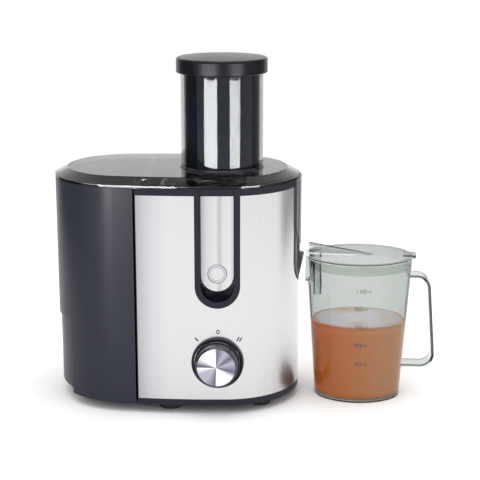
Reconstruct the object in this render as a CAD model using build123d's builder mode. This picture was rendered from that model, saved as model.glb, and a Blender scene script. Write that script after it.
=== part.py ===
from build123d import *
from math import atan2, cos, degrees, radians, sin, sqrt
import os

# Centrifugal juicer in millimetres. The origin is on the motor's axis at worktop level,
# X runs from the pulp container towards the jug, Y from the front to the back, Z up.

# ---------------------------------------------------------------- driving dimensions
# Casing: one four-arc oval shared by the motor body, the pulp container and the lid
casing_length = 273.0
casing_depth = 170.6
axis_offset = 1.3
end_flattening = 2.4
rim_z = 252.1
skirt_z = 9.9
housing_wall = 3.0
steel_thickness = 0.8
steel_bottom_z = 17.15
top_band_height = 7.6
seam_gap = 2.0
fit_gap = 0.3
slide_gap = 0.5
running_gap = 0.05

# Base plate and feet
plate_thickness = 3.0
plate_recess = 1.0
foot_radius = 12.5
foot_spots = [(-53.0, -60.0), (45.0, -42.0), (-53.0, 60.0), (45.0, 42.0)]
post_radius = 4.5
post_height = 14.0
post_from_wall = 3.0
screw_radius = 1.5
screw_angle = 25.0
shelf_reach = 42.0
shelf_root = 9.0
shelf_width = 96.0

# Mains gland in the rear wall
gland_x = -48.0
gland_z = 28.5
gland_radius = 7.0
gland_bore = 3.8

# Front controls, which sit a little right of the motor's axis
control_x = 1.5
knob_z = 60.1
bezel_radius = 28.4
bezel_width = 2.8
bezel_proud = 4.6
bezel_root = 9.0
knob_radius = 25.0
knob_front_radius = 22.6
knob_cap_radius = 20.9
knob_length = 15.4
knob_lift_off = 2.8
spindle_radius = 3.0
switch_size = 30.0
switch_depth = 16.0

# Lid latches, one in front and one behind
latch_width = 34.8
latch_bottom_z = 140.5
latch_side_gap = 0.5
latch_border = 6.4
latch_border_bottom_z = 120.9
well_bottom_z = 127.6
well_depth = 8.5
well_wall = 1.6
arm_thickness = 4.0
pivot_z = 147.5
pivot_inset = 9.4
pin_radius = 2.0
hub_radius = 4.5
button_radius = 10.2
button_z = 159.6
button_travel = 1.5
button_thickness = 3.0
hook_reach = 2.0
hook_engagement = 1.6
ledge_z = 237.5
lug_width = 16.0
lug_thickness = 1.6

# Jug, its lid and the spout that pours into it
jug_clearance = 8.1
jug_top_half = (59.5, 48.0)
jug_bottom_half = (48.1, 38.7)
jug_end_flattening = 6.0
jug_rim_z = 160.5
jug_wall = 2.6
jug_floor = 4.0
jug_lid_thickness = 2.2
jug_lid_skirt = 11.5
handle_reach = 27.6
handle_width = 20.0
handle_thickness = 3.2
handle_top_z = 140.5
handle_bottom_z = 36.0
handle_corner = 14.0
handle_lean = 8.0
hood_height = 13.2
hood_edge_height = 5.4
hood_half_width = 17.0
hood_length = 72.0
hood_thickness = 1.8
separator_depth = 42.0
separator_inset = 9.2
spout_drop = 11.0
spout_radius = 16.0
spout_bore = 13.0
collar_radius = 17.8
collar_reach = 8.0
mouth_slant = 0.22
jug_to_spout = 1.2

# Juice bowl and filter basket
bowl_gap = 0.9
bowl_wall = 2.0
bowl_rim_drop = 3.0
sump_gap = 1.3
tower_radius = 13.0
basket_gap = 5.0
basket_rim_height = 5.0
basket_rim_drop = 9.6
basket_rib_count = 8
mesh_thickness = 0.8
disc_thickness = 1.6
pulp_gate_width = 90.0
pulp_gate_drop = 14.6

# Lid, feed chute and pusher
lid_gap = 0.4
lid_lip = 2.2
lid_rise = 9.9
lid_inset = 14.2
lid_wall = 2.4
rib_root = 0.4
chute_radius = 45.5
chute_wall = 3.6
chute_top_z = 365.5
chute_over_disc = 12.0
pusher_gap = 0.7
pusher_wall = 2.2
cap_radius = 50.2
cap_height = 18.6
cap_gap = 0.6
bead_width = 1.8
bead_height = 2.4

# Motor
shaft_radius = 4.0
stack_radius = 42.0
stack_height = 50.0
stack_bottom_z = 59.5
yoke_width = 8.0
pole_radius = 24.0
air_gap = 0.7
pole_thickness = 4.0
pole_neck = 20.0
pole_half_span = 19.0
coil_gap = 0.5
coil_overhang = 5.0
bearing_radius = 11.0
bearing_width = 6.0
bracket_inset = 2.0
lower_bracket_z = 30.5
deck_thickness = 3.0
commutator_radius = 11.0
bolt_inset = 4.0
bolt_radius = 1.9
spacer_wall = 1.6
fan_radius = 30.0
fan_blades = 12

# Safety switch, in the corner between the bowl and the seam
plunger_radius = 2.4
interlock_half = 6.5

# Pulp container
container_wall = 2.6
container_bottom_z = 10.0
grip_depth = 2.0
grip_top_z = 96.5
grip_half_width = 57.0
grip_width = 23.0
grip_notch_height = 6.5
grip_notch_depth = 8.0

# ---------------------------------------------------------------- derived positions
casing_right = casing_depth / 2 + axis_offset
jug_centre_x = casing_right + jug_clearance + jug_top_half[0]
bracket_radius = stack_radius - bracket_inset
bolt_circle = stack_radius - bolt_inset
casing_end_radius = casing_depth / 2 - end_flattening
casing_centre_x = casing_right - casing_length / 2
seam_x = -casing_right
plateau_z = rim_z + lid_rise
skin = steel_thickness + housing_wall


def side_arc_radius(half_length, half_depth, end_radius):
    """Radius of the long side arcs that run tangent into the end arcs of an oval."""
    straight = half_length - end_radius
    return (straight**2 + half_depth**2 - end_radius**2) / (2 * (half_depth - end_radius))


def casing_half_depth_at(x):
    """Distance from the casing's mid plane to its long side, at x."""
    side = side_arc_radius(casing_length / 2, casing_depth / 2, casing_end_radius)
    return sqrt(side**2 - (x - casing_centre_x) ** 2) - (side - casing_depth / 2)


front_reach = casing_half_depth_at(control_x)
well_back = front_reach - well_depth
pivot_y = pivot_inset - front_reach
deep_back = -pivot_y - hub_radius - 1.2
bowl_radius = well_back - well_wall - bowl_gap
sump_radius = deep_back - well_wall - sump_gap
arm_back = front_reach - arm_thickness
border_half = latch_width / 2 + latch_side_gap + latch_border
well_half = latch_width / 2 + latch_side_gap
well_deep_top_z = button_z + button_radius + 2.5

jug_lid_top_z = jug_rim_z + jug_lid_thickness
spout_z = jug_rim_z - spout_drop
sump_floor_z = spout_z - spout_radius
deck_z = sump_floor_z - deck_thickness - 3.0
basket_base_z = max(well_deep_top_z, spout_z + spout_bore) + 1.0
basket_top_z = rim_z - basket_rim_drop
basket_base_radius = chute_radius + 4.5
basket_top_radius = bowl_radius - bowl_wall - basket_gap
disc_top_z = basket_base_z + disc_thickness
chute_bottom_z = disc_top_z + chute_over_disc
chute_bore = chute_radius - chute_wall
pusher_radius = chute_bore - pusher_gap
cap_bottom_z = chute_top_z + cap_gap
cap_top_z = cap_bottom_z + cap_height
tower_top_z = basket_base_z - 9.0
gate_z = rim_z - pulp_gate_drop
slot_half = collar_radius + 1.2
apron_half = slot_half + 8.5
slot_bottom_z = spout_z - collar_radius + 0.8

screw_left_x = seam_x + housing_wall + 6.0
screw_left_y = casing_half_depth_at(screw_left_x) - skin - post_from_wall
end_arc_x = casing_right - casing_end_radius
screw_right_x = end_arc_x + (casing_end_radius - skin - post_from_wall) * cos(radians(screw_angle))
screw_right_y = (casing_end_radius - skin - post_from_wall) * sin(radians(screw_angle))
screw_spots = [
    (screw_left_x, -screw_left_y),
    (screw_left_x, screw_left_y),
    (screw_right_x, -screw_right_y),
    (screw_right_x, screw_right_y),
]

interlock_spot = (
    seam_x + housing_wall + interlock_half,
    -(casing_half_depth_at(seam_x + housing_wall) - skin - interlock_half - 1.0),
)

stack_top_z = stack_bottom_z + stack_height
upper_bracket_z = deck_z - 12.0
plate_z = skirt_z + plate_recess
shelf_z = skirt_z - 2.4
lower_bearing_z = lower_bracket_z
shaft_top_z = tower_top_z + 4.0


# ---------------------------------------------------------------- shared outlines
def oval(half_length, half_depth, end_radius, centre_x=0.0):
    """Four tangent arcs: two end arcs and two long, slightly bowed sides."""
    side = side_arc_radius(half_length, half_depth, end_radius)
    reach = side - end_radius
    touch_x = (half_length - end_radius) * (1 + end_radius / reach)
    touch_y = end_radius * (side - half_depth) / reach
    front_right = (centre_x + touch_x, -touch_y)
    back_right = (centre_x + touch_x, touch_y)
    back_left = (centre_x - touch_x, touch_y)
    front_left = (centre_x - touch_x, -touch_y)
    with BuildSketch(mode=Mode.PRIVATE) as outline:
        with BuildLine():
            ThreePointArc(front_left, (centre_x, -half_depth), front_right)
            ThreePointArc(front_right, (centre_x + half_length, 0), back_right)
            ThreePointArc(back_right, (centre_x, half_depth), back_left)
            ThreePointArc(back_left, (centre_x - half_length, 0), front_left)
        make_face()
    return outline.sketch


def casing_outline(inset=0.0):
    """The casing's oval, or one parallel to it at `inset` inside."""
    return oval(
        casing_length / 2 - inset,
        casing_depth / 2 - inset,
        casing_end_radius - inset,
        casing_centre_x,
    )


def motor_side(inset=0.0, seam_inset=0.0):
    """The part of the casing's outline to the right of the seam."""
    with BuildSketch(mode=Mode.PRIVATE) as outline:
        add(casing_outline(inset))
        with Locations((seam_x + seam_inset, 0)):
            Rectangle(
                casing_length, casing_depth * 2, align=(Align.MIN, Align.CENTER), mode=Mode.INTERSECT
            )
    return outline.sketch


def pulp_side(inset=0.0, seam_inset=0.0):
    """The part of the casing's outline to the left of the seam."""
    with BuildSketch(mode=Mode.PRIVATE) as outline:
        add(casing_outline(inset))
        with Locations((seam_x - seam_gap - seam_inset, 0)):
            Rectangle(
                casing_length, casing_depth * 2, align=(Align.MAX, Align.CENTER), mode=Mode.INTERSECT
            )
    return outline.sketch


def round_bottom_slot(half_width, bottom, top, centre=0.0):
    """A slot outline with straight sides and a half-round lower end."""
    with BuildSketch(mode=Mode.PRIVATE) as outline:
        with BuildLine():
            Line((centre - half_width, bottom + half_width), (centre - half_width, top))
            Line((centre - half_width, top), (centre + half_width, top))
            Line((centre + half_width, top), (centre + half_width, bottom + half_width))
            ThreePointArc(
                (centre + half_width, bottom + half_width),
                (centre, bottom),
                (centre - half_width, bottom + half_width),
            )
        make_face()
    return outline.sketch


def ring_outline(outer_radius, inner_radius):
    """A flat ring round the origin."""
    with BuildSketch(mode=Mode.PRIVATE) as outline:
        Circle(outer_radius)
        Circle(inner_radius, mode=Mode.SUBTRACT)
    return outline.sketch


def slab(outline, bottom_z, top_z):
    """A private solid of an outline between two heights, for cutting and trimming."""
    with BuildPart(mode=Mode.PRIVATE) as block:
        with BuildSketch(Plane.XY.offset(bottom_z)):
            add(outline)
        extrude(amount=top_z - bottom_z)
    return block.part


def ring_of(outer, inner, bottom_z, top_z):
    """A private solid between two outlines."""
    with BuildPart(mode=Mode.PRIVATE) as block:
        with BuildSketch(Plane.XY.offset(bottom_z)):
            add(outer)
            add(inner, mode=Mode.SUBTRACT)
        extrude(amount=top_z - bottom_z)
    return block.part


def front_prism(outline, back, length=60.0):
    """A private solid of an (x, z) outline running forward from the plane y = -back."""
    with BuildPart(mode=Mode.PRIVATE) as block:
        with BuildSketch(Plane.XZ.offset(back)):
            add(outline)
        extrude(amount=length)
    return block.part


def right_prism(outline, start_x, length=60.0):
    """A private solid of a (y, z) outline running right from the plane x = start_x."""
    with BuildPart(mode=Mode.PRIVATE) as block:
        with BuildSketch(Plane.YZ.offset(start_x)):
            add(outline)
        extrude(amount=length)
    return block.part


nodes = {}


def keep(name, part):
    """Label a finished piece and list it for export."""
    part.label = name
    nodes[name] = part


# ---------------------------------------------------------------- motor body
latch_border_outline = round_bottom_slot(border_half, latch_border_bottom_z, rim_z, control_x)
latch_well_outline = round_bottom_slot(well_half, well_bottom_z, rim_z + 5, control_x)
apron_outline = round_bottom_slot(apron_half, slot_bottom_z, rim_z)

with BuildPart(mode=Mode.PRIVATE) as well_profile:
    with BuildSketch(Plane.YZ.offset(control_x - well_half - 1)):
        with BuildLine():
            scoop_start = (-front_reach + 3.4, well_bottom_z)
            scoop_end = (-deep_back, well_bottom_z + 13.0)
            Line((-casing_depth, well_bottom_z), scoop_start)
            scoop = TangentArc(scoop_start, scoop_end, tangent=(1, 0))
            Polyline(
                scoop_end,
                (-deep_back, well_deep_top_z - 6.6),
                (-well_back, well_deep_top_z),
                (-well_back, rim_z + 5),
                (-casing_depth, rim_z + 5),
                (-casing_depth, well_bottom_z),
            )
        make_face()
    extrude(amount=2 * well_half + 2)

with BuildPart(mode=Mode.PRIVATE) as latch_block:
    add(front_prism(latch_border_outline, well_back - well_wall))
    add(
        front_prism(
            round_bottom_slot(border_half, latch_border_bottom_z, well_deep_top_z + well_wall, control_x),
            deep_back - well_wall,
        )
    )
    add(slab(casing_outline(), skirt_z, rim_z), mode=Mode.INTERSECT)

with BuildPart(mode=Mode.PRIVATE) as latch_well:
    add(front_prism(latch_well_outline, 0, casing_depth))
    add(well_profile.part, mode=Mode.INTERSECT)

with BuildPart() as base_housing:
    with BuildSketch(Plane.XY.offset(skirt_z)):
        add(motor_side())
    extrude(amount=rim_z - skirt_z)
    add(
        ring_of(
            casing_outline(),
            casing_outline(steel_thickness + 0.1),
            steel_bottom_z - 0.1,
            rim_z - top_band_height + 0.1,
        ),
        mode=Mode.SUBTRACT,
    )
    add(slab(motor_side(skin, housing_wall), skirt_z, rim_z), mode=Mode.SUBTRACT)
    # wet deck below the juice bowl
    with BuildSketch(Plane.XY.offset(deck_z)):
        add(motor_side(skin, housing_wall))
        Circle(bearing_radius + 4, mode=Mode.SUBTRACT)
    extrude(amount=deck_thickness)
    # latch surrounds and their wells, front and back
    add(latch_block.part)
    mirror(latch_block.part, about=Plane.XZ)
    add(latch_well.part, mode=Mode.SUBTRACT)
    mirror(latch_well.part, about=Plane.XZ, mode=Mode.SUBTRACT)
    # flush border round the spout slot, then the slot itself
    add(
        right_prism(apron_outline, casing_right - 16)
        & ring_of(casing_outline(), casing_outline(skin), skirt_z, rim_z)
    )
    add(
        right_prism(
            round_bottom_slot(slot_half, spout_z - slot_half, rim_z + 5), casing_right - 20
        ),
        mode=Mode.SUBTRACT,
    )
    # pulp gate in the wall beside the container
    with Locations((seam_x, 0, gate_z)):
        Box(
            4 * housing_wall,
            pulp_gate_width,
            pulp_gate_drop * 2,
            align=(Align.CENTER, Align.CENTER, Align.MIN),
            mode=Mode.SUBTRACT,
        )
    # latch pin holes and knob spindle hole
    with Locations(
        Plane((control_x, pivot_y, pivot_z), z_dir=(1, 0, 0)),
        Plane((control_x, -pivot_y, pivot_z), z_dir=(1, 0, 0)),
    ):
        Cylinder(pin_radius + running_gap, 2 * border_half - 3, mode=Mode.SUBTRACT)
    with Locations(Plane((control_x, -front_reach, knob_z), z_dir=(0, -1, 0))):
        Cylinder(spindle_radius + 2, 4 * skin, mode=Mode.SUBTRACT)
    with Locations(Plane((gland_x, casing_half_depth_at(gland_x), gland_z), z_dir=(0, 1, 0))):
        Cylinder(gland_radius + fit_gap, 4 * skin, mode=Mode.SUBTRACT)
    # motor bolt bosses under the deck
    with BuildSketch(Plane.XY.offset(deck_z)):
        with PolarLocations(bolt_circle, 4, start_angle=45):
            Circle(bolt_radius + running_gap)
    extrude(amount=deck_thickness - 1, mode=Mode.SUBTRACT)
    # plate screw posts, grown out of the walls
    with BuildSketch(Plane.XY.offset(plate_z + plate_thickness)):
        with Locations(*screw_spots):
            Circle(post_radius)
    extrude(amount=post_height)
    with BuildSketch(Plane.XY.offset(plate_z + plate_thickness)):
        with Locations(*screw_spots):
            Circle(screw_radius)
    extrude(amount=post_height - 2, mode=Mode.SUBTRACT)
keep("base_housing", base_housing.part)

# steel wrap: one bent sheet with slots for both latches and the spout
with BuildPart() as steel_panel:
    with BuildSketch(Plane.XY.offset(steel_bottom_z)):
        add(motor_side(0, 1.0))
        add(motor_side(steel_thickness, 1.0), mode=Mode.SUBTRACT)
        with Locations((seam_x, 0)):
            Rectangle(12, casing_depth - 12, mode=Mode.SUBTRACT)
    extrude(amount=rim_z - top_band_height - steel_bottom_z)
    border_cut = front_prism(
        round_bottom_slot(border_half + 0.1, latch_border_bottom_z - 0.1, rim_z, control_x), 0, casing_depth
    )
    add(border_cut, mode=Mode.SUBTRACT)
    mirror(border_cut, about=Plane.XZ, mode=Mode.SUBTRACT)
    add(
        right_prism(round_bottom_slot(apron_half + 0.1, slot_bottom_z - 0.1, rim_z), 0, casing_length),
        mode=Mode.SUBTRACT,
    )
    with Locations(Plane((control_x, -front_reach, knob_z), z_dir=(0, -1, 0))):
        Cylinder(spindle_radius + 2, 4 * skin, mode=Mode.SUBTRACT)
    with Locations(Plane((gland_x, casing_half_depth_at(gland_x), gland_z), z_dir=(0, 1, 0))):
        Cylinder(gland_radius + fit_gap, 4 * skin, mode=Mode.SUBTRACT)
keep("steel_panel", steel_panel.part)

# floor of the motor body, with the air inlet and the shelf under the pulp container
with BuildPart() as base_plate:
    with BuildSketch(Plane.XY.offset(plate_z)):
        add(motor_side(skin + fit_gap, housing_wall + fit_gap))
    extrude(amount=plate_thickness)
    # shelf: it passes under the housing's wall and rises on both sides of it
    with BuildSketch(Plane.XY.offset(shelf_z)):
        with Locations((seam_x + housing_wall + shelf_root, 0)):
            Rectangle(
                shelf_reach + housing_wall + shelf_root, shelf_width, align=(Align.MAX, Align.CENTER)
            )
    extrude(amount=skirt_z - 0.1 - shelf_z)
    with BuildSketch(Plane.XY.offset(shelf_z)):
        with Locations((seam_x + housing_wall + shelf_root, 0)):
            Rectangle(shelf_root - fit_gap, shelf_width, align=(Align.MAX, Align.CENTER))
    extrude(amount=plate_z - shelf_z)
    with BuildSketch(Plane.XY.offset(shelf_z)):
        with Locations((seam_x - 0.5, 0)):
            Rectangle(shelf_reach - 0.5, shelf_width, align=(Align.MAX, Align.CENTER))
    extrude(amount=container_bottom_z - fit_gap - shelf_z)
    with BuildSketch(Plane.XY.offset(plate_z)):
        with PolarLocations(0.5 * fan_radius, 6):
            SlotOverall(16, 4, rotation=90)
        with PolarLocations(0.95 * fan_radius, 14):
            SlotOverall(13, 4)
    extrude(amount=plate_thickness, mode=Mode.SUBTRACT)
    with BuildSketch(Plane.XY.offset(plate_z)):
        with Locations(*screw_spots):
            Circle(screw_radius + fit_gap)
    extrude(amount=plate_thickness, mode=Mode.SUBTRACT)
keep("base_plate", base_plate.part)

with BuildPart() as feet:
    with BuildSketch():
        with Locations(*foot_spots):
            Circle(foot_radius)
    extrude(amount=plate_z)
    chamfer(feet.edges().group_by(Axis.Z)[0], length=0.8)
keep("feet", feet.part)

with BuildPart() as plate_screws:
    with BuildSketch(Plane.XY.offset(plate_z - 0.8)):
        with Locations(*screw_spots):
            Circle(2 * screw_radius)
    extrude(amount=0.8)
    with BuildSketch(Plane.XY.offset(plate_z)):
        with Locations(*screw_spots):
            Circle(screw_radius)
    extrude(amount=plate_thickness + post_height - 4)
keep("plate_screws", plate_screws.part)

# mains gland in the rear wall
with BuildPart() as cord_gland:
    with BuildSketch(Plane.XZ.offset(-(casing_half_depth_at(gland_x) + 7.0))):
        with Locations((gland_x, gland_z)):
            Circle(gland_radius)
    extrude(amount=7.0 + skin + 4)
    with BuildSketch(Plane.XZ.offset(-(casing_half_depth_at(gland_x) + 2.4))):
        with Locations((gland_x, gland_z)):
            Circle(gland_radius + 2)
    extrude(amount=1.8)
    with Locations(Plane((gland_x, casing_half_depth_at(gland_x), gland_z), z_dir=(0, 1, 0))):
        Cylinder(gland_bore, 60, mode=Mode.SUBTRACT)
keep("cord_gland", cord_gland.part)

# ---------------------------------------------------------------- speed control
with BuildPart() as knob_bezel:
    with BuildSketch(Plane.YZ.offset(control_x)):
        with BuildLine():
            front = -front_reach - bezel_proud
            outer = knob_z + bezel_radius
            inner = outer - bezel_width
            Polyline(
                (front + 1.2, inner),
                (-front_reach + bezel_root, inner),
                (-front_reach + bezel_root, outer),
                (front + 1.6, outer),
            )
            ThreePointArc((front + 1.6, outer), (front, outer - 1.4), (front + 1.2, inner))
        make_face()
    revolve(axis=Axis((control_x, 0, knob_z), (0, 1, 0)))
    add(slab(casing_outline(), 0, rim_z), mode=Mode.SUBTRACT)
keep("knob_bezel", knob_bezel.part)

knob_back = front_reach + knob_lift_off
knob_front = knob_back + knob_length
with BuildPart() as knob_body:
    with BuildSketch(Plane.YZ.offset(control_x)):
        with BuildLine():
            Polyline(
                (-knob_back, knob_z),
                (-knob_back, knob_z + knob_radius),
                (-knob_back - 2.4, knob_z + knob_radius),
                (-knob_back - 3.2, knob_z + knob_radius - 0.6),
                (-knob_front + 1.4, knob_z + knob_front_radius + 0.3),
                (-knob_front, knob_z + knob_front_radius - 1.0),
                (-knob_front, knob_z + knob_cap_radius + 0.1),
                (-knob_front + 1.5, knob_z + knob_cap_radius + 0.1),
                (-knob_front + 1.5, knob_z),
                close=True,
            )
        make_face()
    revolve(axis=Axis((control_x, 0, knob_z), (0, 1, 0)))
    with BuildSketch(Plane.XZ.offset(front_reach - skin - switch_depth + 2)):
        with Locations((control_x, knob_z)):
            Circle(spindle_radius)
    extrude(amount=knob_lift_off + skin + switch_depth - 1)
keep("knob_body", knob_body.part)

with BuildPart() as knob_cap:
    with BuildSketch(Plane.XZ.offset(knob_front - 1.5)):
        with Locations((control_x, knob_z)):
            Circle(knob_cap_radius)
    extrude(amount=2.1)
    fillet(knob_cap.faces().sort_by(Axis.Y)[0].edges(), radius=0.6)
keep("knob_cap", knob_cap.part)

with BuildPart() as rotary_switch:
    with BuildSketch(Plane.XZ.offset(front_reach - skin - switch_depth - 1)):
        with Locations((control_x, knob_z)):
            RectangleRounded(switch_size, switch_size, 3)
    extrude(amount=switch_depth - 2.5)
    with Locations(Plane((control_x, -front_reach, knob_z), z_dir=(0, -1, 0))):
        Cylinder(spindle_radius + running_gap, 80, mode=Mode.SUBTRACT)
    with BuildSketch(Plane.XZ.offset(front_reach - skin - switch_depth - 5)):
        with Locations((control_x, knob_z)):
            with GridLocations(9, 18, 3, 2):
                Rectangle(5, 0.9)
    extrude(amount=4)
keep("rotary_switch", rotary_switch.part)

with BuildPart() as speed_board:
    with BuildSketch(Plane.YZ.offset(seam_x + housing_wall + 6)):
        with Locations((0, stack_bottom_z + 10)):
            Rectangle(70, 56)
    extrude(amount=1.6)
    with BuildSketch(Plane.YZ.offset(seam_x + housing_wall + 7.6)):
        with Locations((-18, stack_bottom_z + 20), (-18, stack_bottom_z - 2)):
            Rectangle(14, 12)
        with Locations((16, stack_bottom_z + 8)):
            Rectangle(20, 30)
    extrude(amount=9)
    with BuildSketch(Plane.YZ.offset(seam_x + housing_wall)):
        with Locations((0, stack_bottom_z + 10)):
            with GridLocations(58, 46, 2, 2):
                Circle(3)
    extrude(amount=6)
keep("speed_board", speed_board.part)

# ---------------------------------------------------------------- motor, fixed parts
with BuildPart() as motor_stack:
    with BuildSketch(Plane.XY.offset(stack_bottom_z)):
        Circle(pole_radius + pole_thickness)
        with Locations((stack_radius, 0), (-stack_radius, 0)):
            Rectangle(2 * (stack_radius - pole_half_span), 2 * stack_radius, mode=Mode.SUBTRACT)
        Rectangle(pole_neck, 2 * (stack_radius - yoke_width / 2))
        add(ring_outline(stack_radius, stack_radius - yoke_width))
        Circle(pole_radius, mode=Mode.SUBTRACT)
        with PolarLocations(bolt_circle, 4, start_angle=45):
            Circle(bolt_radius + fit_gap, mode=Mode.SUBTRACT)
    extrude(amount=stack_height)
keep("motor_stack", motor_stack.part)

# one coil round each pole neck, bulging above and below the stack
with BuildPart() as field_coils:
    with BuildSketch(Plane.XY.offset(stack_bottom_z - coil_overhang)):
        Circle(stack_radius - yoke_width - coil_gap)
        Circle(pole_radius + pole_thickness + coil_gap, mode=Mode.SUBTRACT)
        with Locations((stack_radius, 0), (-stack_radius, 0)):
            Rectangle(2 * (stack_radius - pole_half_span - 2), 2 * stack_radius, mode=Mode.SUBTRACT)
    extrude(amount=stack_height + 2 * coil_overhang)
    with Locations((0, 0, stack_bottom_z + stack_height / 2)):
        Box(pole_neck + 2 * coil_gap, 2 * stack_radius, stack_height + 2 * coil_gap, mode=Mode.SUBTRACT)
keep("field_coils", field_coils.part)


def bracket(base_z, thickness):
    """A round end bracket: three open windows, a bearing seat and four bolt holes."""
    with BuildPart(mode=Mode.PRIVATE) as plate:
        with BuildSketch(Plane.XY.offset(base_z)):
            Circle(stack_radius)
            with PolarLocations(25, 4):
                SlotOverall(18, 10, rotation=90, mode=Mode.SUBTRACT)
            Circle(bearing_radius, mode=Mode.SUBTRACT)
            with PolarLocations(bolt_circle, 4, start_angle=45):
                Circle(bolt_radius + fit_gap, mode=Mode.SUBTRACT)
        extrude(amount=thickness)
    return plate.part


with BuildPart() as lower_bracket:
    add(bracket(lower_bracket_z, bearing_width))
    with BuildSketch(Plane.XY.offset(lower_bracket_z + bearing_width)):
        with PolarLocations(bolt_circle, 4, start_angle=45):
            Circle(bolt_radius + fit_gap + spacer_wall)
            Circle(bolt_radius + fit_gap, mode=Mode.SUBTRACT)
    extrude(amount=stack_bottom_z - lower_bracket_z - bearing_width)
keep("lower_bracket", lower_bracket.part)

with BuildPart() as upper_bracket:
    add(bracket(upper_bracket_z, bearing_width))
    with BuildSketch(Plane.XY.offset(stack_top_z)):
        with PolarLocations(bolt_circle, 4, start_angle=45):
            Circle(bolt_radius + fit_gap + spacer_wall)
            Circle(bolt_radius + fit_gap, mode=Mode.SUBTRACT)
    extrude(amount=upper_bracket_z - stack_top_z)
keep("upper_bracket", upper_bracket.part)


def bearing(base_z):
    """A plain bearing between the shaft and its bracket."""
    with BuildPart(mode=Mode.PRIVATE) as ring:
        with BuildSketch(Plane.XY.offset(base_z)):
            Circle(bearing_radius)
            Circle(shaft_radius + running_gap, mode=Mode.SUBTRACT)
        extrude(amount=bearing_width)
    return ring.part


keep("lower_bearing", bearing(lower_bearing_z))
keep("upper_bearing", bearing(upper_bracket_z))

with BuildPart() as motor_mounts:
    with BuildSketch(Plane.XY.offset(upper_bracket_z + bearing_width)):
        with PolarLocations(bolt_circle, 4, start_angle=45):
            Circle(bolt_radius + 3)
            Circle(bolt_radius + fit_gap, mode=Mode.SUBTRACT)
    extrude(amount=deck_z - upper_bracket_z - bearing_width)
keep("motor_mounts", motor_mounts.part)

with BuildPart() as motor_bolts:
    with BuildSketch(Plane.XY.offset(lower_bracket_z - 2.4)):
        with PolarLocations(bolt_circle, 4, start_angle=45):
            RegularPolygon(bolt_radius + 1.6, 6)
    extrude(amount=2.4)
    with BuildSketch(Plane.XY.offset(lower_bracket_z)):
        with PolarLocations(bolt_circle, 4, start_angle=45):
            Circle(bolt_radius)
    extrude(amount=deck_z + deck_thickness - 1.5 - lower_bracket_z)
keep("motor_bolts", motor_bolts.part)

commutator_bottom_z = lower_bracket_z + bearing_width + 3
commutator_height = stack_bottom_z - commutator_bottom_z - 9
brush_z = commutator_bottom_z + commutator_height / 2
brush_size = 6.0
with BuildPart() as carbon_brushes:
    for side in (1, -1):
        with Locations((side * (commutator_radius + 0.1 + 6), 0, brush_z)):
            Box(12, brush_size, brush_size)
keep("carbon_brushes", carbon_brushes.part)

with BuildPart() as brush_holders:
    for side in (1, -1):
        with Locations((side * (commutator_radius + 12), 0, brush_z)):
            Box(20, brush_size + 3, brush_size + 3)
            Box(20, brush_size + 0.2, brush_size + 0.2, mode=Mode.SUBTRACT)
        with Locations((side * (commutator_radius + 21), 0, brush_z)):
            Box(2, brush_size + 3, brush_size + 3)
        with Locations((side * (commutator_radius + 24), 0, 0)):
            with BuildSketch(Plane.XY.offset(lower_bracket_z + bearing_width)):
                with Locations((side * (commutator_radius + 20.5), 0)):
                    Rectangle(3, brush_size + 3)
            extrude(amount=brush_z - lower_bracket_z - bearing_width)
keep("brush_holders", brush_holders.part)

with BuildPart() as shaft_seal:
    with BuildSketch(Plane.XY.offset(deck_z - 1.5)):
        Circle(bearing_radius + 4 + 2)
        Circle(shaft_radius + fit_gap, mode=Mode.SUBTRACT)
    extrude(amount=1.5)
    with BuildSketch(Plane.XY.offset(deck_z)):
        Circle(bearing_radius + 4)
        Circle(shaft_radius + fit_gap, mode=Mode.SUBTRACT)
    extrude(amount=deck_thickness)
    with BuildSketch(Plane.XY.offset(deck_z + deck_thickness)):
        Circle(shaft_radius + 3)
        Circle(shaft_radius + fit_gap, mode=Mode.SUBTRACT)
    extrude(amount=2.5)
keep("shaft_seal", shaft_seal.part)

# ---------------------------------------------------------------- motor, turning parts
with BuildPart() as motor_shaft:
    with BuildSketch(Plane.XY.offset(plate_z + plate_thickness + 1.5)):
        Circle(shaft_radius)
    extrude(amount=shaft_top_z - plate_z - plate_thickness - 1.5)
keep("motor_shaft", motor_shaft.part)

with BuildPart() as armature_core:
    with BuildSketch(Plane.XY.offset(stack_bottom_z)):
        Circle(pole_radius - air_gap)
        Circle(shaft_radius, mode=Mode.SUBTRACT)
        with PolarLocations(pole_radius - air_gap - 3, 12):
            SlotOverall(9, 3, mode=Mode.SUBTRACT)
    extrude(amount=stack_height)
keep("armature_core", armature_core.part)

with BuildPart() as armature_windings:
    with BuildSketch(Plane.XY.offset(stack_bottom_z - coil_overhang)):
        Circle(pole_radius - air_gap - 3.5)
        Circle(shaft_radius, mode=Mode.SUBTRACT)
    extrude(amount=coil_overhang)
    with BuildSketch(Plane.XY.offset(stack_top_z)):
        Circle(pole_radius - air_gap - 3.5)
        Circle(shaft_radius, mode=Mode.SUBTRACT)
    extrude(amount=coil_overhang)
keep("armature_windings", armature_windings.part)

with BuildPart() as commutator:
    with BuildSketch(Plane.XY.offset(commutator_bottom_z)):
        Circle(commutator_radius)
        Circle(shaft_radius, mode=Mode.SUBTRACT)
        with PolarLocations(commutator_radius, 18):
            Rectangle(1.6, 0.6, mode=Mode.SUBTRACT)
    extrude(amount=commutator_height)
keep("commutator", commutator.part)

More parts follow.
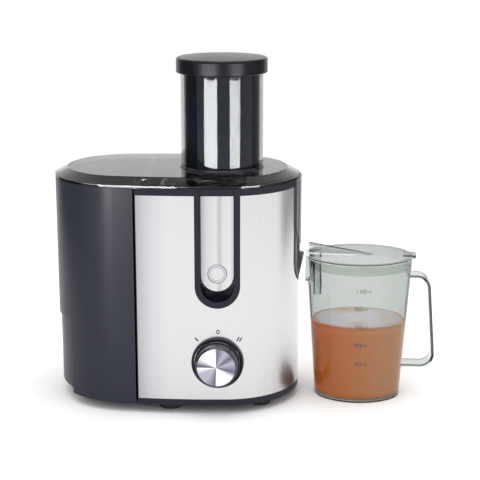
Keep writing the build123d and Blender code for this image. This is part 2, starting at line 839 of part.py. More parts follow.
fan_z = plate_z + plate_thickness + 3
with BuildPart() as cooling_fan:
    with BuildSketch(Plane.XY.offset(fan_z)):
        Circle(8)
        Circle(shaft_radius, mode=Mode.SUBTRACT)
    extrude(amount=lower_bracket_z - 3.2 - fan_z)
    with BuildSketch(Plane.XY.offset(lower_bracket_z - 4.6)):
        Circle(fan_radius)
        Circle(shaft_radius, mode=Mode.SUBTRACT)
    extrude(amount=1.4)
    with BuildSketch(Plane.XY.offset(fan_z)):
        with PolarLocations((fan_radius + 8) / 2, fan_blades):
            Rectangle(fan_radius - 8, 1.4, rotation=24)
        Circle(fan_radius, mode=Mode.INTERSECT)
        Circle(8 - 0.5, mode=Mode.SUBTRACT)
    extrude(amount=lower_bracket_z - 4.0 - fan_z)
keep("cooling_fan", cooling_fan.part)

with BuildPart() as drive_coupling:
    with BuildSketch(Plane.XY.offset(tower_top_z - 18)):
        Circle(tower_radius - 2.5)
        Circle(shaft_radius, mode=Mode.SUBTRACT)
    extrude(amount=16)
    with BuildSketch(Plane.XY.offset(tower_top_z - 2)):
        RegularPolygon(tower_radius - 3, 6)
        Circle(shaft_radius, mode=Mode.SUBTRACT)
    extrude(amount=7)
keep("drive_coupling", drive_coupling.part)


# ---------------------------------------------------------------- filter basket
def cone_radius(z):
    """Outside radius of the basket's mesh at a height."""
    share = (z - basket_base_z) / (basket_top_z - basket_base_z)
    return basket_base_radius + share * (basket_top_radius - basket_base_radius)


with BuildPart() as filter_basket:
    rim_low_z = basket_top_z - basket_rim_height
    hub_cup = tower_radius + bowl_wall + 1.6
    with BuildSketch(Plane.XZ):
        with BuildLine():
            Polyline(
                (tower_radius - 5.5, basket_base_z - 2),
                (tower_radius - 5.5, basket_base_z),
                (basket_base_radius, basket_base_z),
                (basket_base_radius, basket_base_z - 3),
                (hub_cup + 2, basket_base_z - 3),
                (hub_cup + 2, tower_top_z - 8),
                (hub_cup, tower_top_z - 8),
                (hub_cup, tower_top_z + 1.6),
                (tower_radius - 0.8, tower_top_z + 1.6),
                (tower_radius - 0.8, basket_base_z - 2),
                close=True,
            )
        make_face()
        with BuildLine():
            Polyline(
                (cone_radius(rim_low_z) + 0.1, rim_low_z),
                (basket_top_radius + 3, rim_low_z),
                (basket_top_radius + 3, basket_top_z),
                (cone_radius(basket_top_z) + 0.1, basket_top_z),
                close=True,
            )
        make_face()
    revolve(axis=Axis.Z)
    with BuildSketch(Plane.XY.offset(tower_top_z + 1.6)):
        Circle(tower_radius)
        RegularPolygon(tower_radius - 2.6, 6, mode=Mode.SUBTRACT)
    extrude(amount=basket_base_z - tower_top_z - 1.6)
    with BuildSketch(Plane.XZ) as rib_outline:
        with BuildLine():
            Polyline(
                (basket_base_radius - 2, basket_base_z - 3),
                (basket_base_radius + 1.8, basket_base_z - 3),
                (cone_radius(rim_low_z) + 2.2, rim_low_z + 1),
                (cone_radius(rim_low_z) + 0.5, rim_low_z + 1),
                (basket_base_radius + 0.3, basket_base_z),
                (basket_base_radius - 2, basket_base_z),
                close=True,
            )
        make_face()
    rib = extrude(amount=1.2, both=True, mode=Mode.PRIVATE)
    with PolarLocations(0, basket_rib_count):
        add(rib)
keep("filter_basket", filter_basket.part)

with BuildPart() as basket_mesh:
    with BuildSketch(Plane.XZ):
        with BuildLine():
            Polyline(
                (basket_base_radius, basket_base_z),
                (basket_top_radius, basket_top_z),
                (basket_top_radius - mesh_thickness, basket_top_z),
                (basket_base_radius - mesh_thickness, basket_base_z),
                close=True,
            )
        make_face()
    revolve(axis=Axis.Z)
keep("basket_mesh", basket_mesh.part)

with BuildPart() as grater_disc:
    with BuildSketch(Plane.XY.offset(basket_base_z)):
        Circle(basket_base_radius - mesh_thickness - fit_gap)
    extrude(amount=disc_thickness)
    with BuildSketch(Plane.XY.offset(disc_top_z)):
        for row in range(4):
            with PolarLocations(14 + 9 * row, 8 + 5 * row, start_angle=12 * row):
                Rectangle(3.2, 0.8, rotation=35)
    extrude(amount=1.2)
keep("grater_disc", grater_disc.part)

# ---------------------------------------------------------------- juice bowl
bowl_step_z = well_deep_top_z + well_wall + 1.0
bowl_top_z = rim_z - bowl_rim_drop
bridge_z = spout_z + spout_radius - 1.5
with BuildPart() as juice_bowl:
    with BuildSketch(Plane.XZ):
        with BuildLine():
            Polyline(
                (tower_radius, tower_top_z),
                (tower_radius, sump_floor_z),
                (sump_radius, sump_floor_z),
                (sump_radius, bowl_step_z),
                (bowl_radius, bowl_step_z + 6),
                (bowl_radius, bowl_top_z),
                (bowl_radius - bowl_wall, bowl_top_z),
                (bowl_radius - bowl_wall, bowl_step_z + 7),
                (sump_radius - bowl_wall, bowl_step_z + 1),
                (sump_radius - bowl_wall, sump_floor_z + bowl_wall),
                (tower_radius + bowl_wall, sump_floor_z + bowl_wall),
                (tower_radius + bowl_wall, tower_top_z),
                close=True,
            )
        make_face()
    revolve(axis=Axis.Z)
    # apron that closes the slot in the housing, thicker near the rim
    add(
        right_prism(round_bottom_slot(apron_half - 0.5, slot_bottom_z + 0.5, rim_z), casing_right - 16)
        & ring_of(casing_outline(-1.2), casing_outline(-fit_gap / 3), skirt_z, rim_z)
    )
    add(
        right_prism(round_bottom_slot(apron_half - 0.5, spout_z + 26, rim_z), casing_right - 16)
        & ring_of(casing_outline(-2.0), casing_outline(-1.0), skirt_z, rim_z)
    )
    # bridge over the slot between bowl and apron
    with Locations((bowl_radius - 1, 0, bridge_z)):
        Box(
            casing_right - bowl_radius + 1.5,
            2 * slot_half - 2,
            bowl_top_z - bridge_z,
            align=(Align.MIN, Align.CENTER, Align.MIN),
        )
    # spout tube and its trumpet-shaped collar, cut off on a slant
    with BuildSketch(Plane.XZ):
        with BuildLine():
            collar_x = casing_right - 3.0
            Polyline(
                (sump_radius - 1, spout_z),
                (sump_radius - 1, spout_z + spout_radius),
                (collar_x, spout_z + spout_radius),
                (collar_x, spout_z + collar_radius),
                (collar_x + 2.4, spout_z + collar_radius),
            )
            ThreePointArc(
                (collar_x + 2.4, spout_z + collar_radius),
                (collar_x + 5.0, spout_z + collar_radius - 2.0),
                (collar_x + collar_reach + 3.0, spout_z + collar_radius - 2.2),
            )
            Polyline(
                (collar_x + collar_reach + 3.0, spout_z + collar_radius - 2.2),
                (collar_x + collar_reach + 3.0, spout_z),
                (sump_radius - 1, spout_z),
            )
        make_face()
    revolve(axis=Axis((0, 0, spout_z), (1, 0, 0)))
    with Locations(Plane((sump_radius - 4, 0, spout_z), z_dir=(1, 0, 0))):
        Cylinder(spout_bore, 60, align=(Align.CENTER, Align.CENTER, Align.MIN), mode=Mode.SUBTRACT)
    mouth_top = (collar_x + collar_reach + 1.2, 0, spout_z + collar_radius)
    with Locations(Plane(mouth_top, x_dir=(1, 0, -mouth_slant), z_dir=(mouth_slant, 0, 1))):
        Box(40, 80, 120, align=(Align.MIN, Align.CENTER, Align.CENTER), mode=Mode.SUBTRACT)
    # pulp gate towards the container
    with Locations((-bowl_radius, 0, gate_z)):
        Box(40, pulp_gate_width, 40, align=(Align.CENTER, Align.CENTER, Align.MIN), mode=Mode.SUBTRACT)
keep("juice_bowl", juice_bowl.part)

# ---------------------------------------------------------------- lid with its feed chute
lid_bottom_z = rim_z + lid_gap
lug_y = front_reach - arm_thickness - hook_reach - 0.4
with BuildPart() as lid_lug:
    with BuildSketch(Plane.YZ.offset(control_x - lug_width / 2)):
        with BuildLine():
            Polyline(
                (-lug_y + lug_thickness, rim_z + 4.6),
                (-lug_y, rim_z + 4.6),
                (-lug_y, ledge_z + 2 * hook_engagement - 1.2),
                (-lug_y - hook_engagement, ledge_z + hook_engagement - 1.2),
                (-lug_y - hook_engagement, ledge_z - 1.6),
                (-lug_y, ledge_z - 3.4),
                (-lug_y + lug_thickness, ledge_z - 3.4),
                close=True,
            )
        make_face()
    extrude(amount=lug_width)

with BuildPart() as lid:
    with BuildSketch(Plane.XY.offset(lid_bottom_z)):
        add(casing_outline())
    extrude(amount=lid_lip)
    with BuildSketch(Plane.XY.offset(lid_bottom_z + lid_lip)):
        add(casing_outline())
    slope_height = plateau_z - lid_bottom_z - lid_lip
    extrude(amount=slope_height, taper=degrees(atan2(lid_inset, slope_height)))
    # the same form again, one wall smaller, hollows it from below
    with BuildSketch(Plane.XY.offset(lid_bottom_z)):
        add(casing_outline(lid_wall))
    hollow_height = plateau_z - lid_wall - lid_bottom_z
    extrude(
        amount=hollow_height, taper=degrees(atan2(lid_inset, hollow_height)), mode=Mode.SUBTRACT
    )
    # locating rib inside the motor body's rim, open towards the container and clear of the latches
    with BuildSketch(Plane.XY.offset(rim_z - 4)):
        add(motor_side(skin + slide_gap, housing_wall + 8))
        add(motor_side(skin + slide_gap + 1.8, 0), mode=Mode.SUBTRACT)
        with Locations((control_x, 0)):
            Rectangle(2 * border_half + 2, casing_depth, mode=Mode.SUBTRACT)
        with Locations((casing_right, 0)):
            Rectangle(40, 2 * slot_half + 4, mode=Mode.SUBTRACT)
    extrude(amount=lid_bottom_z + 2.0 - rim_z + 4)
    # rib round the basket that turns the pulp towards the container
    with BuildSketch(Plane.XY.offset(bowl_top_z + 1.0)):
        add(ring_outline(basket_top_radius + 3 + 3.0, basket_top_radius + 3 + 1.2))
        with Locations((-bowl_radius, 0)):
            Rectangle(bowl_radius, pulp_gate_width, mode=Mode.SUBTRACT)
    extrude(amount=plateau_z - lid_wall + rib_root - bowl_top_z - 1.0)
    # latch lugs, front and back
    add(lid_lug.part)
    mirror(lid_lug.part, about=Plane.XZ)
    # pin that presses the safety switch
    with BuildSketch(Plane.XY.offset(rim_z - 1.6)):
        with Locations(interlock_spot):
            Circle(plunger_radius + 0.8)
    extrude(amount=plateau_z - rim_z)
    # feed chute, from above the grater to its open mouth
    with BuildSketch(Plane.XY.offset(chute_bottom_z)):
        Circle(chute_radius)
    extrude(amount=chute_top_z - chute_bottom_z)
    with BuildSketch(Plane.XY.offset(chute_bottom_z)):
        Circle(chute_bore)
    extrude(amount=chute_top_z - chute_bottom_z, mode=Mode.SUBTRACT)
    with BuildSketch(Plane.XZ):
        with BuildLine():
            Polyline(
                (chute_radius - 0.5, plateau_z - 1),
                (chute_radius + bead_width, plateau_z - 1),
                (chute_radius + bead_width, plateau_z + 0.4),
                (chute_radius, plateau_z + bead_height),
                (chute_radius - 0.5, plateau_z + bead_height),
                close=True,
            )
        make_face()
    revolve(axis=Axis.Z)
keep("lid", lid.part)

with BuildPart() as pusher_tube:
    with BuildSketch(Plane.XY.offset(chute_bottom_z + 2)):
        Circle(pusher_radius)
    extrude(amount=cap_bottom_z - chute_bottom_z - 2)
    with BuildSketch(Plane.XY.offset(chute_bottom_z + 2 + pusher_wall)):
        Circle(pusher_radius - pusher_wall)
    extrude(amount=cap_bottom_z - chute_bottom_z, mode=Mode.SUBTRACT)
    fillet(pusher_tube.edges().group_by(Axis.Z)[0], radius=1.6)
keep("pusher_tube", pusher_tube.part)

with BuildPart() as pusher_cap:
    with BuildSketch(Plane.XZ):
        with BuildLine():
            crown_start = (cap_radius - 2.6, cap_top_z - 2.2)
            Line((0, cap_bottom_z), (cap_radius - 0.8, cap_bottom_z))
            Line((cap_radius - 0.8, cap_bottom_z), (cap_radius, cap_bottom_z + 0.8))
            Line((cap_radius, cap_bottom_z + 0.8), (cap_radius, cap_top_z - 5.0))
            TangentArc((cap_radius, cap_top_z - 5.0), crown_start, tangent=(0, 1))
            TangentArc((0, cap_top_z), crown_start, tangent=(1, 0))
            Line((0, cap_top_z), (0, cap_bottom_z))
        make_face()
    revolve(axis=Axis.Z)
    with BuildSketch(Plane.XY.offset(cap_bottom_z - 8)):
        Circle(pusher_radius - pusher_wall - 0.1)
        Circle(pusher_radius - pusher_wall - 2.1, mode=Mode.SUBTRACT)
    extrude(amount=8)
keep("pusher_cap", pusher_cap.part)

# ---------------------------------------------------------------- pulp container
with BuildPart() as grip_zone:
    with Locations((casing_right - casing_length, 0, 0)):
        Box(2 * grip_width, 2 * grip_half_width, 2 * grip_top_z + 2 * container_wall)

with BuildPart() as pulp_container:
    with BuildSketch(Plane.XY.offset(container_bottom_z)):
        add(pulp_side())
    extrude(amount=rim_z - container_bottom_z)
    fillet(pulp_container.edges().group_by(Axis.Z)[0], radius=1.6)
    with BuildSketch(Plane.XY.offset(container_bottom_z + container_wall)):
        add(pulp_side(container_wall, container_wall))
    extrude(amount=rim_z - container_bottom_z, mode=Mode.SUBTRACT)
    # hand grip at the outer end: thicker wall inside, shallow recess and a finger notch outside
    add(
        ring_of(
            casing_outline(grip_depth),
            casing_outline(grip_depth + container_wall),
            container_bottom_z + 1,
            grip_top_z + container_wall,
        )
        & grip_zone.part
    )
    add(
        ring_of(
            casing_outline(grip_depth),
            casing_outline(grip_notch_depth + container_wall),
            container_bottom_z + 1,
            container_bottom_z + grip_notch_height + container_wall,
        )
        & grip_zone.part
    )
    add(
        ring_of(casing_outline(-1), casing_outline(grip_depth), 0, grip_top_z) & grip_zone.part,
        mode=Mode.SUBTRACT,
    )
    add(
        ring_of(
            casing_outline(-1),
            casing_outline(grip_notch_depth),
            0,
            container_bottom_z + grip_notch_height,
        )
        & grip_zone.part,
        mode=Mode.SUBTRACT,
    )
    # low wall under the pulp gate
    with Locations((seam_x - seam_gap, 0, gate_z)):
        Box(
            4 * container_wall,
            pulp_gate_width,
            40,
            align=(Align.CENTER, Align.CENTER, Align.MIN),
            mode=Mode.SUBTRACT,
        )
keep("pulp_container", pulp_container.part)

# ---------------------------------------------------------------- latches
arm_outline = round_bottom_slot(latch_width / 2, latch_bottom_z, rim_z - 0.3, control_x)
plate_outline = round_bottom_slot(latch_width / 2, latch_bottom_z, rim_z - top_band_height, control_x)
outer_skin = ring_of(casing_outline(), casing_outline(steel_thickness), 0, rim_z)
button_axis = Plane((control_x, -front_reach, button_z), z_dir=(0, -1, 0))

with BuildPart() as front_latch_arm:
    add(front_prism(arm_outline, arm_back))
    add(slab(casing_outline(), 0, rim_z), mode=Mode.INTERSECT)
    add(front_prism(plate_outline, 0, casing_depth) & outer_skin, mode=Mode.SUBTRACT)
    # hub round the hinge pin
    with Locations(Plane((control_x, pivot_y, pivot_z), z_dir=(1, 0, 0))):
        Cylinder(hub_radius, latch_width - 1)
    with BuildSketch(Plane.YZ.offset(control_x - latch_width / 2 + 0.5)):
        with BuildLine():
            Polyline(
                (-arm_back - 0.5, pivot_z - hub_radius),
                (pivot_y, pivot_z - hub_radius),
                (pivot_y, pivot_z + hub_radius),
                (-arm_back - 0.5, pivot_z + hub_radius + 3),
                close=True,
            )
        make_face()
    extrude(amount=latch_width - 1)
    # boss behind the button, then the button's own hole
    with Locations(Plane((control_x, -arm_back - 1, button_z), z_dir=(0, 1, 0))):
        Cylinder(button_radius + 1.8, 1 + button_thickness, align=(Align.CENTER, Align.CENTER, Align.MIN))
    with Locations(button_axis):
        Cylinder(
            button_radius + 0.25,
            2 * (button_thickness + button_travel + 0.3),
            mode=Mode.SUBTRACT,
        )
    with Locations(Plane((control_x, pivot_y, pivot_z), z_dir=(1, 0, 0))):
        Cylinder(pin_radius + running_gap, latch_width + 4, mode=Mode.SUBTRACT)
    # hook over the lid's lug
    with BuildSketch(Plane.YZ.offset(control_x - lug_width / 2 - 1)):
        with BuildLine():
            hook_tip = -arm_back + hook_reach
            Polyline(
                (-arm_back - 0.5, ledge_z + 0.1 - 0.6),
                (-arm_back, ledge_z + 0.1),
                (hook_tip, ledge_z + hook_reach + 0.1),
                (hook_tip, ledge_z + hook_reach + 3.2),
                (-arm_back, ledge_z + hook_reach + 5.2),
                (-arm_back - 0.5, ledge_z + hook_reach + 5.2),
                close=True,
            )
        make_face()
    extrude(amount=lug_width + 2)
keep("front_latch_arm", front_latch_arm.part)

with BuildPart() as front_latch_plate:
    add(front_prism(plate_outline, 0, casing_depth) & outer_skin)
    with Locations(button_axis):
        Cylinder(button_radius + 0.25, 20, mode=Mode.SUBTRACT)
keep("front_latch_plate", front_latch_plate.part)

with BuildPart() as front_latch_button:
    with BuildSketch(Plane.XZ.offset(front_reach - button_thickness)):
        with Locations((control_x, button_z)):
            Circle(button_radius)
    extrude(amount=button_thickness + 0.3)
    fillet(front_latch_button.faces().sort_by(Axis.Y)[0].edges(), radius=0.5)
keep("front_latch_button", front_latch_button.part)

with BuildPart() as rear_latch_arm:
    mirror(front_latch_arm.part, about=Plane.XZ)
keep("rear_latch_arm", rear_latch_arm.part)

with BuildPart() as rear_latch_plate:
    mirror(front_latch_plate.part, about=Plane.XZ)
keep("rear_latch_plate", rear_latch_plate.part)

with BuildPart() as rear_latch_button:
    mirror(front_latch_button.part, about=Plane.XZ)
keep("rear_latch_button", rear_latch_button.part)

with BuildPart() as latch_pins:
    with Locations(
        Plane((control_x, pivot_y, pivot_z), z_dir=(1, 0, 0)),
        Plane((control_x, -pivot_y, pivot_z), z_dir=(1, 0, 0)),
    ):
        Cylinder(pin_radius, 2 * border_half - 5)
keep("latch_pins", latch_pins.part)

# ---------------------------------------------------------------- safety switch under the lid
plunger_top_z = rim_z - 1.6 - fit_gap
switch_top_z = rim_z - 14
switch_bottom_z = switch_top_z - 44
spring_floor_z = switch_bottom_z + 14
spring_top_z = spring_floor_z + 18
with BuildPart() as interlock_switch:
    with BuildSketch(Plane.XY.offset(switch_bottom_z)):
        with Locations(interlock_spot):
            RectangleRounded(2 * interlock_half, 2 * interlock_half, 2)
    extrude(amount=switch_top_z - switch_bottom_z)
    with BuildSketch(Plane.XY.offset(spring_floor_z)):
        with Locations(interlock_spot):
            Circle(plunger_radius + 2.4)
    extrude(amount=60, mode=Mode.SUBTRACT)
keep("interlock_switch", interlock_switch.part)

with BuildPart() as interlock_spring:
    with BuildSketch(Plane.XY.offset(spring_floor_z)):
        with Locations(interlock_spot):
            Circle(plunger_radius + 1.6)
            Circle(plunger_radius + 0.6, mode=Mode.SUBTRACT)
    extrude(amount=spring_top_z - spring_floor_z)
keep("interlock_spring", interlock_spring.part)

with BuildPart() as interlock_plunger:
    with BuildSketch(Plane.XY.offset(spring_floor_z + 5)):
        with Locations(interlock_spot):
            Circle(plunger_radius)
    extrude(amount=plunger_top_z - spring_floor_z - 5)
    with BuildSketch(Plane.XY.offset(spring_top_z)):
        with Locations(interlock_spot):
            Circle(plunger_radius + 2.4 - running_gap)
    extrude(amount=3)
keep("interlock_plunger", interlock_plunger.part)


# ---------------------------------------------------------------- jug
def jug_outline(height, inset=0.0):
    """The jug's oval at a height: its sides taper evenly from rim to foot."""
    share = height / jug_rim_z
    half_length = jug_bottom_half[0] + share * (jug_top_half[0] - jug_bottom_half[0]) - inset
    half_depth = jug_bottom_half[1] + share * (jug_top_half[1] - jug_bottom_half[1]) - inset
    return oval(half_length, half_depth, half_depth - jug_end_flattening, jug_centre_x)


def jug_solid(low_z, high_z, inset=0.0):
    """A private tapered solid between two heights of the jug's outline."""
    with BuildPart(mode=Mode.PRIVATE) as block:
        with BuildSketch(Plane.XY.offset(low_z)):
            add(jug_outline(low_z, inset))
        with BuildSketch(Plane.XY.offset(high_z)):
            add(jug_outline(high_z, inset))
        loft(ruled=True)
    return block.part


def jug_right_at(height):
    """x of the jug's outer wall on the handle side."""
    share = height / jug_rim_z
    return jug_centre_x + jug_bottom_half[0] + share * (jug_top_half[0] - jug_bottom_half[0])


trough_left_x = collar_x + collar_reach + 1.2 + jug_to_spout
notch_half = hood_half_width - 1.0
notch_z = jug_rim_z - 30.0
with BuildPart() as jug_body:
    with BuildSketch(Plane.XZ):
        with BuildLine():
            handle_x = jug_right_at(handle_top_z) + handle_reach - handle_lean
            FilletPolyline(
                (jug_right_at(handle_top_z) - 1.4, handle_top_z),
                (handle_x, handle_top_z),
                (handle_x + handle_lean, handle_bottom_z),
                (jug_right_at(handle_bottom_z) - 1.4, handle_bottom_z),
                radius=handle_corner,
            )
        trace(line_width=handle_thickness)
    extrude(amount=handle_width / 2, both=True)
    add(jug_solid(0, jug_rim_z))
    add(jug_solid(jug_floor, jug_rim_z + 0.01, jug_wall), mode=Mode.SUBTRACT)
    # shallow hollow under the floor, so that the jug stands on its rim
    add(jug_solid(0, 0.8, 2.2 * jug_wall), mode=Mode.SUBTRACT)
    # notch in the rim that lets the inlet trough through
    with Locations((jug_centre_x - jug_top_half[0], 0, notch_z)):
        Box(30, 2 * notch_half, 60, align=(Align.CENTER, Align.CENTER, Align.MIN), mode=Mode.SUBTRACT)
keep("jug_body", jug_body.part)

lid_bottom = jug_rim_z + fit_gap
with BuildPart() as jug_lid:
    with BuildSketch(Plane.XY.offset(lid_bottom)):
        add(jug_outline(jug_rim_z, -0.4))
    extrude(amount=jug_lid_thickness)
    add(jug_solid(lid_bottom - jug_lid_skirt, lid_bottom + 0.5, jug_wall + slide_gap))
    add(jug_solid(lid_bottom - jug_lid_skirt, lid_bottom, jug_wall + slide_gap + 1.6), mode=Mode.SUBTRACT)
    # inlet: opening in the plate and the skirt, with a trough that reaches over the jug's rim
    with Locations((jug_centre_x - jug_top_half[0], 0, lid_bottom - jug_lid_skirt)):
        Box(
            30,
            2 * notch_half - 1.2,
            40,
            align=(Align.CENTER, Align.CENTER, Align.MIN),
            mode=Mode.SUBTRACT,
        )
    with BuildSketch(Plane.YZ.offset(trough_left_x)):
        with BuildLine():
            Polyline(
                (-notch_half + 0.6, lid_bottom + jug_lid_thickness),
                (-notch_half + 0.6, notch_z + notch_half),
            )
            ThreePointArc(
                (-notch_half + 0.6, notch_z + notch_half),
                (0, notch_z + 0.6),
                (notch_half - 0.6, notch_z + notch_half),
            )
            Polyline(
                (notch_half - 0.6, notch_z + notch_half),
                (notch_half - 0.6, lid_bottom + jug_lid_thickness),
                (-notch_half + 0.6, lid_bottom + jug_lid_thickness),
            )
        make_face()
        offset(amount=-1.6, mode=Mode.SUBTRACT)
        with Locations((0, lid_bottom + jug_lid_thickness)):
            Rectangle(2 * notch_half - 4.4, 6, mode=Mode.SUBTRACT)
    extrude(amount=jug_centre_x - jug_top_half[0] + separator_inset - 0.6 - trough_left_x)
    # slanted mouth that faces the spout
    with Locations(
        Plane((trough_left_x, 0, spout_z + collar_radius), x_dir=(1, 0, -0.22), z_dir=(0.22, 0, 1))
    ):
        Box(40, 80, 120, align=(Align.MAX, Align.CENTER, Align.CENTER), mode=Mode.SUBTRACT)
    # hood: a thin ridged roof that slopes down towards the handle
    hood_x = trough_left_x + 3.6
    for start, height, edge, half in (
        (hood_x, hood_height, hood_edge_height, hood_half_width),
        (hood_x + hood_length, 0.8, 0.2, 1.0),
    ):
        with BuildSketch(Plane.YZ.offset(start)):
            with BuildLine():
                top = lid_bottom + jug_lid_thickness
                Polyline(
                    (0, top + height),
                    (half, top + edge),
                    (half, top + edge - hood_thickness),
                    (0, top + height - hood_thickness),
                    (-half, top + edge - hood_thickness),
                    (-half, top + edge),
                    close=True,
                )
            make_face()
    loft(ruled=True)
    # divider below the hood
    with Locations((hood_x + 13.4, 0, lid_bottom)):
        Box(
            1.6,
            2 * notch_half - 1.2,
            jug_lid_thickness + 3.6,
            align=(Align.CENTER, Align.CENTER, Align.MIN),
        )
    # thumb tab over the handle
    with BuildSketch(Plane.XY.offset(lid_bottom)):
        with Locations((jug_centre_x + jug_top_half[0] - 4, 0)):
            RectangleRounded(15, 16, 2)
    extrude(amount=jug_lid_thickness + 1.6)
keep("jug_lid", jug_lid.part)

with BuildPart() as foam_separator:
    separator_left = jug_centre_x - jug_top_half[0] + separator_inset
    with BuildSketch(Plane.XY.offset(lid_bottom - separator_depth)):
        with Locations((separator_left, 0)):
            RectangleRounded(8.4, 2 * notch_half - 6, 2, align=(Align.MIN, Align.CENTER))
        offset(amount=-1.5, mode=Mode.SUBTRACT)
    extrude(amount=separator_depth)
keep("foam_separator", foam_separator.part)

# ---------------------------------------------------------------- export
os.makedirs("parts", exist_ok=True)
for name, part in nodes.items():
    export_step(part, f"parts/{name}.step")
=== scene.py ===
import math

import bmesh
import bpy
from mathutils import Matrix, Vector
from mathutils.bvhtree import BVHTree


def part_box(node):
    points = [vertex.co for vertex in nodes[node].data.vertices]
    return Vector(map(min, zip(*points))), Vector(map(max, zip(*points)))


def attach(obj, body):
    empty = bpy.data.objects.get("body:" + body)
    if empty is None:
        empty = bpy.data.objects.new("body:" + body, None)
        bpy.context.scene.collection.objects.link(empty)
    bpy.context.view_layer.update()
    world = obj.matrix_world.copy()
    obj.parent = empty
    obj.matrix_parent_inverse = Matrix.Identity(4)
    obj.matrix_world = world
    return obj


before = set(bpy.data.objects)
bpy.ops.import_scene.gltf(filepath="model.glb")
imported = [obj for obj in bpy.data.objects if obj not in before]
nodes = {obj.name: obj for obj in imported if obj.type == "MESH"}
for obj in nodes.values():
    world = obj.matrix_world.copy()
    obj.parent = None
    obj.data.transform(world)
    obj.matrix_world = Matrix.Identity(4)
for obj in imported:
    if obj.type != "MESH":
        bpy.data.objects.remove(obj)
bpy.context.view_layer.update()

scene = bpy.context.scene
MM = 0.001

# ------------------------------------------------------------------ camera
CAMERA_SPOT = (0.1236, -1.4398, 0.5349)
CAMERA_PITCH = 13.93
CAMERA_YAW = 4.12

camera_data = bpy.data.cameras.new("camera")
camera_data.lens = 99.0
camera_data.sensor_width = 36.0
camera_data.clip_end = 60.0
camera = bpy.data.objects.new("camera", camera_data)
camera.location = CAMERA_SPOT
camera.rotation_euler = (math.radians(90 - CAMERA_PITCH), 0, math.radians(CAMERA_YAW))
scene.collection.objects.link(camera)
scene.camera = camera


# ------------------------------------------------------------------ materials
class Look:
    """A Principled material with helpers that add patterns in object coordinates."""

    def __init__(self, name, color, roughness, **sockets):
        self.material = bpy.data.materials.new(name)
        self.material.use_nodes = True
        self.tree = self.material.node_tree
        self.shader = self.tree.nodes["Principled BSDF"]
        self.output = self.tree.nodes["Material Output"]
        self.shader.inputs["Base Color"].default_value = (*color, 1)
        self.shader.inputs["Roughness"].default_value = roughness
        for key, value in sockets.items():
            self.shader.inputs[key.replace("_", " ")].default_value = value
        self.color, self.roughness = color, roughness

    def add(self, kind, **values):
        node = self.tree.nodes.new(kind)
        for key, value in values.items():
            setattr(node, key, value)
        return node

    def link(self, a, b):
        self.tree.links.new(a, b)

    def noise(self, scale, stretch=(1, 1, 1), detail=3.0, roughness=0.55):
        """Noise in object coordinates; scale is per metre."""
        place = self.add("ShaderNodeTexCoord")
        shape = self.add("ShaderNodeMapping")
        shape.inputs["Scale"].default_value = [scale * s for s in stretch]
        grain = self.add("ShaderNodeTexNoise")
        grain.inputs["Scale"].default_value = 1.0
        grain.inputs["Detail"].default_value = detail
        grain.inputs["Roughness"].default_value = roughness
        self.link(place.outputs["Object"], shape.inputs["Vector"])
        self.link(shape.outputs["Vector"], grain.inputs["Vector"])
        return grain.outputs["Fac"]

    def spread(self, source, low, high, start=0.3, end=0.7):
        """Maps a 0..1 source to a number range."""
        node = self.add("ShaderNodeMapRange")
        for key, value in zip(("From Min", "From Max", "To Min", "To Max"), (start, end, low, high)):
            node.inputs[key].default_value = value
        self.link(source, node.inputs["Value"])
        return node.outputs["Result"]

    def bump(self, source, height, strength=0.4):
        node = self.add("ShaderNodeBump")
        node.inputs["Distance"].default_value = height
        node.inputs["Strength"].default_value = strength
        self.link(source, node.inputs["Height"])
        earlier = self.shader.inputs["Normal"]
        if earlier.is_linked:
            self.link(earlier.links[0].from_socket, node.inputs["Normal"])
        self.link(node.outputs["Normal"], earlier)
        return self

    def tint(self, source, stops):
        """Colours the surface by a ramp over a 0..1 source."""
        ramp = self.add("ShaderNodeValToRGB")
        while len(ramp.color_ramp.elements) < len(stops):
            ramp.color_ramp.elements.new(0.5)
        for element, (position, color) in zip(ramp.color_ramp.elements, stops):
            element.position = position
            element.color = (*color, 1)
        self.link(source, ramp.inputs["Fac"])
        self.link(ramp.outputs["Color"], self.shader.inputs["Base Color"])
        return self

    def rough(self, source, low, high):
        self.link(self.spread(source, low, high), self.shader.inputs["Roughness"])
        return self

    def moulded(self, grain=900.0, height=0.00004, spread=0.06):
        """Fine moulded-plastic texture with slight roughness and colour variation."""
        fine = self.noise(grain, detail=2.0)
        broad = self.noise(18.0, detail=4.0)
        self.bump(fine, height)
        self.rough(broad, self.roughness - spread / 2, self.roughness + spread / 2)
        dark = tuple(c * 0.9 for c in self.color)
        light = tuple(min(1.0, c * 1.1) for c in self.color)
        return self.tint(broad, [(0.3, dark), (0.7, light)])

    def clear(self, tint):
        """Lets lamps shine through a clear wall, with the wall's tint."""
        path = self.add("ShaderNodeLightPath")
        through = self.add("ShaderNodeBsdfTransparent")
        through.inputs["Color"].default_value = (*tint, 1)
        mix = self.add("ShaderNodeMixShader")
        self.link(path.outputs["Is Shadow Ray"], mix.inputs["Fac"])
        self.link(self.shader.outputs["BSDF"], mix.inputs[1])
        self.link(through.outputs["BSDF"], mix.inputs[2])
        self.link(mix.outputs["Shader"], self.output.inputs["Surface"])
        return self

    def absorb(self, color, density):
        """Darkens clear plastic by the length of the way through it; density is per metre."""
        inside = self.add("ShaderNodeVolumeAbsorption")
        inside.inputs["Color"].default_value = (*color, 1)
        inside.inputs["Density"].default_value = density
        self.link(inside.outputs["Volume"], self.output.inputs["Volume"])
        return self


casing = Look("casing_plastic", (0.011, 0.012, 0.021), 0.34, Specular_IOR_Level=0.24)
casing.moulded()

steel = Look("brushed_steel", (0.64, 0.64, 0.645), 0.24, Metallic=1.0)
streak = steel.noise(700.0, (1.0, 1.0, 0.012), detail=5.0)
steel.rough(streak, 0.21, 0.29)
steel.bump(streak, 0.000006, 0.15)
